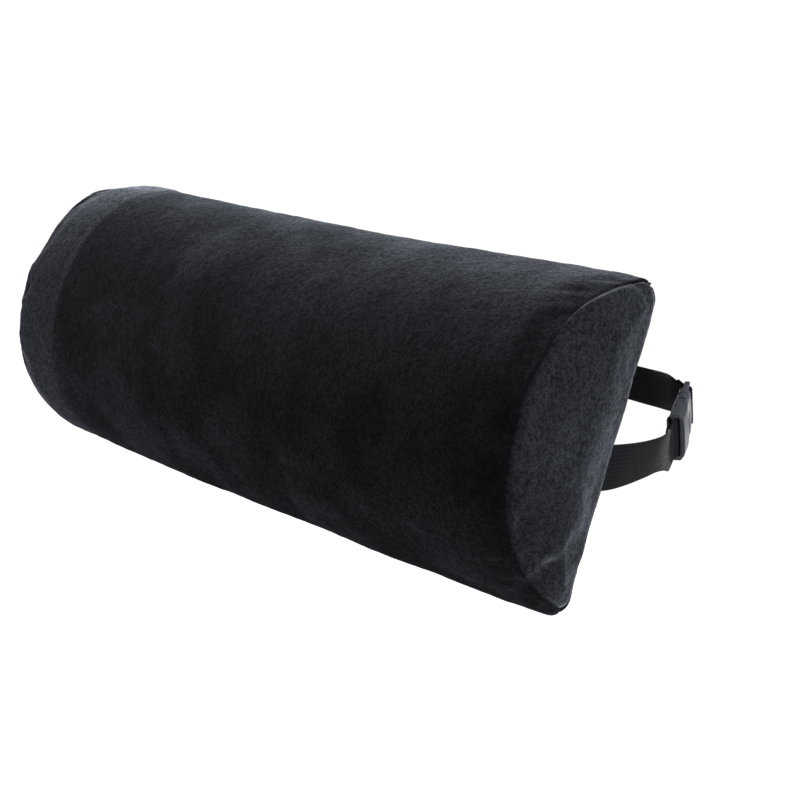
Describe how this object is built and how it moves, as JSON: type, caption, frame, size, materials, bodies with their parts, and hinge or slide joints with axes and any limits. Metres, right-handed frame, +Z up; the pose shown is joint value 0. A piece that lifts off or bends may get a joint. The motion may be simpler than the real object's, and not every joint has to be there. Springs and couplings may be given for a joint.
{
  "type": "lumbar support cushion",
  "caption": "Half-moon memory foam lumbar cushion in a zipped plush cover, with an elastic strap closed by a side-release buckle.",
  "frame": {"origin": "centre of the flat back face, which rests against the chair", "axes": "+X along the cushion towards the buckle end, +Y out of the flat back towards the chair, +Z up"},
  "size_m": [0.45, 0.3421, 0.1802],
  "materials": {
    "memory_foam": "open-cell foam, matt",
    "liner_cloth": "thin knitted liner, matt",
    "plush_cover": "short-pile plush, crushed sheen",
    "zipper_tape": "woven tape",
    "zipper_coil": "nylon coil",
    "zipper_metal": "black enamel",
    "elastic_webbing": "ribbed elastic",
    "sewing_thread": "twisted thread",
    "buckle_plastic": "satin moulded plastic"
  },
  "bodies": {
    "cushion": {"foam_core": "memory_foam", "inner_liner": "liner_cloth", "front_panel": "plush_cover", "end_panel_left": "plush_cover", "end_panel_right": "plush_cover", "back_panel_upper": "plush_cover", "back_panel_lower": "plush_cover", "zipper_tape_upper": "zipper_tape", "zipper_tape_lower": "zipper_tape", "zipper_coil_upper": "zipper_coil", "zipper_coil_lower": "zipper_coil", "zipper_stop_closed": "zipper_metal", "zipper_stop_open": "zipper_metal", "strap_short": "elastic_webbing", "strap_long": "elastic_webbing", "strap_short_stitching": "sewing_thread", "buckle_socket": "buckle_plastic"},
    "zipper_slider": {"zipper_slider": "zipper_metal"},
    "zipper_pull": {"zipper_pull": "zipper_metal"},
    "buckle_plug": {"buckle_plug": "buckle_plastic", "strap_long_stitching": "sewing_thread"},
    "buckle_prong_upper": {"buckle_prong_upper": "buckle_plastic"},
    "buckle_prong_lower": {"buckle_prong_lower": "buckle_plastic"}
  },
  "joints": [
    {"name": "zipper_slide", "type": "slide", "parent": "cushion", "child": "zipper_slider", "axis": [-1, 0, 0], "range_m": [0, 0.352]},
    {"name": "zipper_pull_flip", "type": "hinge", "parent": "zipper_slider", "child": "zipper_pull", "pos_m": [0.176, 0.0015, -0.062], "axis": [0, 0, -1], "range_deg": [0, 175]},
    {"name": "buckle_release", "type": "slide", "parent": "cushion", "child": "buckle_plug", "axis": [-0.4586, 0.7649, 0.4523], "range_m": [0, 0.022], "deforming": ["buckle_prong_upper", "buckle_prong_lower", "strap_long"]},
    {"name": "prong_squeeze_upper", "type": "hinge", "parent": "buckle_plug", "child": "buckle_prong_upper", "pos_m": [0.14951, 0.15795, 0.04429], "axis": [0.8886, 0.3948, 0.2335], "range_deg": [0, 12], "stiffness_Nm_per_rad": 0.4},
    {"name": "prong_squeeze_lower", "type": "hinge", "parent": "buckle_plug", "child": "buckle_prong_lower", "pos_m": [0.14951, 0.16956, 0.02467], "axis": [-0.8886, -0.3948, -0.2335], "range_deg": [0, 12], "stiffness_Nm_per_rad": 0.4}
  ]
}
